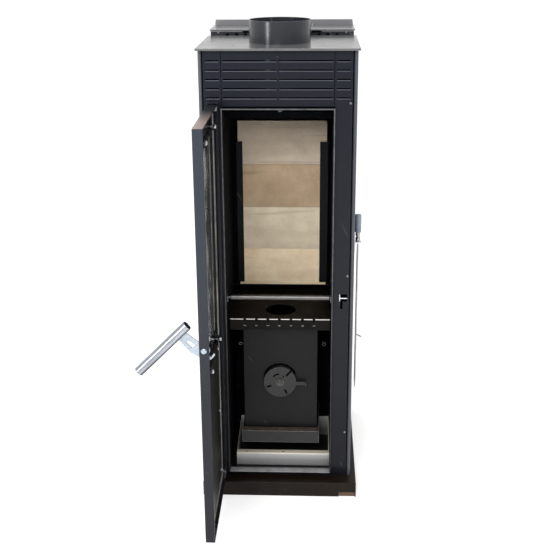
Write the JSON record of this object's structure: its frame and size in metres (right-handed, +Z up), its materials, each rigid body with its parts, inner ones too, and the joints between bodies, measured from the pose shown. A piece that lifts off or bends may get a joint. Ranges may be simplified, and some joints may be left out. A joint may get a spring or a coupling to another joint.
{
  "type": "wood burning stove",
  "caption": "Tall slim free-standing stove with a top flue collar, a rear fuel hopper, and a tall glazed door that opens on a brick-lined chamber over a burner box.",
  "frame": {"origin": "on the floor under the middle of the front face of the casing", "axes": "+X to the right seen from the front, +Y from the front to the back, +Z up"},
  "size_m": [0.517, 0.7896, 1.2],
  "materials": {
    "casing_black": "satin heat-resistant paint",
    "plinth_brown": "dark matt heat-resistant paint",
    "top_grey": "satin grey paint",
    "flue_grey": "satin dark grey paint",
    "firebox_steel": "sooty black steel",
    "cast_black": "black cast iron",
    "firebrick": "rough fired clay",
    "bare_steel": "brushed",
    "zinc": "zinc plated",
    "galvanised": "galvanised",
    "rope": "braided glass fibre",
    "glass": "clear ceramic glass",
    "poker_grip": "grey-blue satin",
    "poker_steel": "dark steel"
  },
  "bodies": {
    "stove": {"air_valve_bolt": "zinc", "baffle_plate": "firebox_steel", "brick_retainers": "firebox_steel", "burner_box": "firebox_steel", "burner_front": "firebox_steel", "burner_grate": "cast_black", "burner_top": "cast_black", "casing_screws": "zinc", "chute_bolts": "zinc", "chute_flange": "firebox_steel", "firebox_back": "firebox_steel", "firebox_ceiling": "firebox_steel", "firebox_floor": "firebox_steel", "firebox_rails": "firebox_steel", "firebox_sides": "firebox_steel", "firebrick_1": "firebrick", "firebrick_2": "firebrick", "firebrick_3": "firebrick", "firebrick_4": "firebrick", "flue_collar": "flue_grey", "flue_duct": "flue_grey", "front_frame": "casing_black", "fuel_chute": "firebox_steel", "grille_panel": "casing_black", "guard_bar": "bare_steel", "guard_bar_hooks": "bare_steel", "hopper_bin": "firebox_steel", "hopper_funnel": "firebox_steel", "hopper_neck": "casing_black", "latch_keeper": "zinc", "levelling_feet": "zinc", "lid_hinge_pins": "zinc", "lower_hinge_pin": "zinc", "plinth": "plinth_brown", "poker_holder": "zinc", "rear_panel": "casing_black", "side_panel_left": "casing_black", "side_panel_right": "casing_black", "top_plate": "top_grey", "upper_hinge_pin": "casing_black"},
    "door": {"door_leaf": "casing_black", "hinge_blocks": "zinc", "rope_channel": "casing_black", "door_rope": "rope", "door_glass": "glass", "glass_tape": "rope", "glass_clips": "casing_black", "door_liner": "casing_black", "door_board": "firebrick", "door_screws": "zinc", "handle_bolt": "zinc"},
    "door_handle": {"handle_lever": "zinc", "handle_tube": "bare_steel"},
    "air_valve": {"air_valve": "cast_black"},
    "hopper_lid": {"hopper_lid": "top_grey"},
    "ash_pan": {"ash_pan": "galvanised"},
    "ember_drawer": {"ember_drawer": "firebox_steel"},
    "poker": {"poker_grip": "poker_grip", "poker_rod": "poker_steel"}
  },
  "joints": [
    {"name": "door_hinge", "type": "hinge", "parent": "stove", "child": "door", "pos_m": [-0.1495, -0.012, 0.05], "axis": [0, 0, -1], "range_deg": [-90, 25]},
    {"name": "handle_turn", "type": "hinge", "parent": "door", "child": "door_handle", "pos_m": [-0.1524, -0.32, 0.534], "axis": [0, 1, 0], "range_deg": [-45, 8]},
    {"name": "air_valve_turn", "type": "hinge", "parent": "stove", "child": "air_valve", "pos_m": [0.0005, 0.022, 0.2985], "axis": [0, 1, 0], "range_deg": [-20, 40]},
    {"name": "hopper_lid_hinge", "type": "hinge", "parent": "stove", "child": "hopper_lid", "pos_m": [0, 0.446, 1.161], "axis": [-1, 0, 0], "range_deg": [0, 95]},
    {"name": "ash_pan_slide", "type": "slide", "parent": "stove", "child": "ash_pan", "axis": [0, -1, 0], "range_m": [0, 0.16]},
    {"name": "ember_drawer_slide", "type": "slide", "parent": "stove", "child": "ember_drawer", "axis": [0, -1, 0], "range_m": [0, 0.13]},
    {"name": "poker_lift", "type": "slide", "parent": "stove", "child": "poker", "axis": [0, 0, 1], "range_m": [0, 0.04]}
  ]
}
